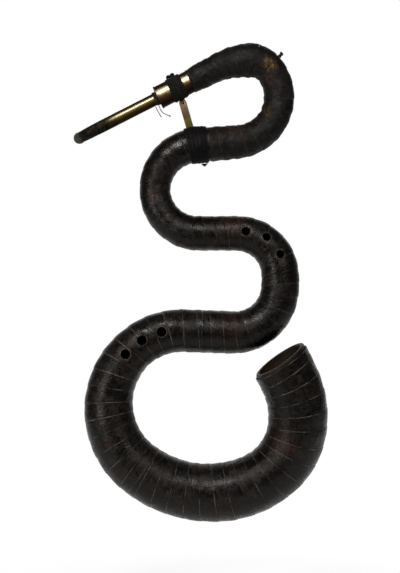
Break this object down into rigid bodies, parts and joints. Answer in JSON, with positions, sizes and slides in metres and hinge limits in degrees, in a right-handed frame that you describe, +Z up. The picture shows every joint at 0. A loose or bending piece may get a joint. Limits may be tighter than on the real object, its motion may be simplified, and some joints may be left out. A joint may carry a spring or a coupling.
{
  "type": "serpent bass horn",
  "caption": "Serpent: a leather-covered walnut bass horn, its conical tube wound down in bows to an open bell, with finger holes and a brass crook in a brass ferrule.",
  "frame": {"origin": "the point under the neck where a cord or padded peg carries the horn, straight above its centre of mass", "axes": "+Z up as the horn hangs, +X to the right seen from the finger-hole side, -Y out of the finger holes towards the player"},
  "size_m": [0.4503, 0.1403, 0.8365],
  "materials": {
    "walnut": "old oiled walnut, dark, with worn edges",
    "black_leather": "blackened leather, wound on wet, semi-gloss with brown wear",
    "black_cloth": "tarred linen tape, dull",
    "old_brass": "hand-polished, with brown tarnish",
    "linen_thread": "waxed linen thread, darkened"
  },
  "bodies": {
    "root": {"neck_front_half": "walnut", "neck_back_half": "walnut", "first_bow_front_half": "walnut", "first_bow_back_half": "walnut", "second_bow_front_half": "walnut", "second_bow_back_half": "walnut", "third_bow_front_half": "walnut", "third_bow_back_half": "walnut", "great_bow_front_half": "walnut", "great_bow_back_half": "walnut", "bell_front_half": "walnut", "bell_back_half": "walnut", "neck_cover": "black_leather", "first_bow_cover": "black_leather", "second_bow_cover": "black_leather", "third_bow_cover": "black_leather", "great_bow_cover": "black_leather", "bell_cover": "black_leather", "crook_ferrule": "old_brass", "ferrule_binding": "black_cloth", "binding_knot": "black_cloth", "stay_strip": "old_brass", "stay_lug": "old_brass", "stay_screw": "old_brass", "stay_nut": "old_brass", "stay_band": "black_cloth", "band_tail": "black_cloth", "cover_tail": "black_cloth"},
    "lapping": {"tenon_lapping": "linen_thread", "long_thread_end": "linen_thread", "short_thread_end": "linen_thread"},
    "crook": {"crook": "old_brass"}
  },
  "joints": [
    {"name": "crook_pull", "type": "slide", "parent": "root", "child": "lapping", "axis": [-0.891, 0, -0.454], "range_m": [0, 0.045]},
    {"name": "crook_turn", "type": "hinge", "parent": "lapping", "child": "crook", "pos_m": [-0.08549, 0, -0.01725], "axis": [-0.891, 0, -0.454], "continuous": true}
  ]
}
